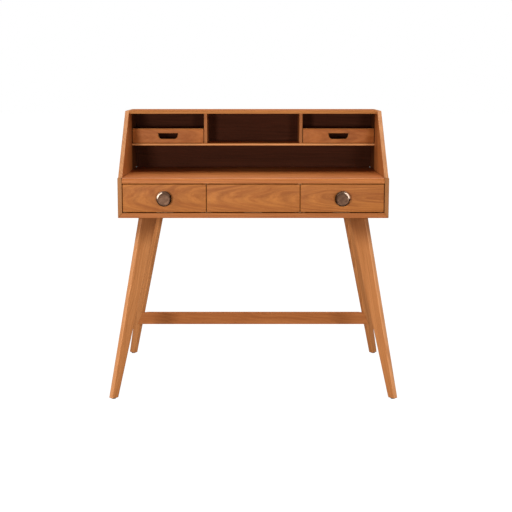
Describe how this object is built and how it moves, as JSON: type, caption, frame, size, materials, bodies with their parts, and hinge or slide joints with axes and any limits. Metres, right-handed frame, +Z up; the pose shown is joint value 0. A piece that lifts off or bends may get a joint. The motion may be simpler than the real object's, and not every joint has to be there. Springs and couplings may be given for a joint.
{
  "type": "writing desk with drawers",
  "caption": "Writing desk with splayed diagonal legs, inset drawers, round knobs and a sloping hutch with cubbies and pull-out trays.",
  "frame": {"origin": "on the floor, under the middle of the case and of the four feet", "axes": "+Z up, +X to the right as seen from the front, the drawers face -Y"},
  "size_m": [0.9994, 0.685, 0.9835],
  "materials": {
    "case_wood": "oiled warm brown hardwood, satin",
    "hutch_wood": "oiled warm brown hardwood, satin",
    "worktop_wood": "oiled warm brown hardwood, satin, eased front edge",
    "front_wood": "flat sawn warm brown hardwood, satin, grain running across the fronts",
    "leg_wood": "oiled warm brown hardwood, satin, grain along the leg",
    "box_wood": "plain pale hardwood, matt lacquer",
    "thin_panel_wood": "thin veneered panel, matt",
    "back_panel_wood": "thin veneered back panel, dark stain, matt",
    "aged_bronze": "aged bronze, satin",
    "zinc_steel": "zinc plated",
    "dark_nylon": "matt black"
  },
  "bodies": {
    "desk_frame": {"case_back_panel": "back_panel_wood", "case_bottom_panel": "case_wood", "case_partition_left": "box_wood", "case_partition_right": "box_wood", "case_side_left": "case_wood", "case_side_right": "case_wood", "drawer_stop_center": "box_wood", "drawer_stop_left": "box_wood", "drawer_stop_right": "box_wood", "glide_back_left": "dark_nylon", "glide_back_right": "dark_nylon", "glide_front_left": "dark_nylon", "glide_front_right": "dark_nylon", "hutch_back_panel": "back_panel_wood", "hutch_divider_left": "hutch_wood", "hutch_divider_right": "hutch_wood", "hutch_shelf": "hutch_wood", "hutch_side_left": "hutch_wood", "hutch_side_right": "hutch_wood", "hutch_top_panel": "hutch_wood", "leg_back_left": "leg_wood", "leg_back_right": "leg_wood", "leg_bolt_back_left": "zinc_steel", "leg_bolt_back_right": "zinc_steel", "leg_bolt_front_left": "zinc_steel", "leg_bolt_front_right": "zinc_steel", "leg_front_left": "leg_wood", "leg_front_right": "leg_wood", "rear_stretcher": "leg_wood", "worktop": "worktop_wood"},
    "drawer_left": {"drawer_left_back": "box_wood", "drawer_left_bottom": "thin_panel_wood", "drawer_left_front": "front_wood", "drawer_left_side_left": "box_wood", "drawer_left_side_right": "box_wood", "knob_left": "aged_bronze", "knob_screw_left": "zinc_steel"},
    "drawer_center": {"drawer_center_back": "box_wood", "drawer_center_bottom": "thin_panel_wood", "drawer_center_front": "front_wood", "drawer_center_side_left": "box_wood", "drawer_center_side_right": "box_wood"},
    "drawer_right": {"drawer_right_back": "box_wood", "drawer_right_bottom": "thin_panel_wood", "drawer_right_front": "front_wood", "drawer_right_side_left": "box_wood", "drawer_right_side_right": "box_wood", "knob_right": "aged_bronze", "knob_screw_right": "zinc_steel"},
    "tray_left": {"tray_left_back": "box_wood", "tray_left_bottom": "thin_panel_wood", "tray_left_front": "front_wood", "tray_left_side_left": "box_wood", "tray_left_side_right": "box_wood"},
    "tray_right": {"tray_right_back": "box_wood", "tray_right_bottom": "thin_panel_wood", "tray_right_front": "front_wood", "tray_right_side_left": "box_wood", "tray_right_side_right": "box_wood"}
  },
  "joints": [
    {"name": "drawer_left_slide", "type": "slide", "parent": "desk_frame", "child": "drawer_left", "axis": [0, -1, 0], "range_m": [0, 0.29]},
    {"name": "drawer_center_slide", "type": "slide", "parent": "desk_frame", "child": "drawer_center", "axis": [0, -1, 0], "range_m": [0, 0.29]},
    {"name": "drawer_right_slide", "type": "slide", "parent": "desk_frame", "child": "drawer_right", "axis": [0, -1, 0], "range_m": [0, 0.29]},
    {"name": "tray_left_slide", "type": "slide", "parent": "desk_frame", "child": "tray_left", "axis": [0, -1, 0], "range_m": [0, 0.09]},
    {"name": "tray_right_slide", "type": "slide", "parent": "desk_frame", "child": "tray_right", "axis": [0, -1, 0], "range_m": [0, 0.09]}
  ]
}
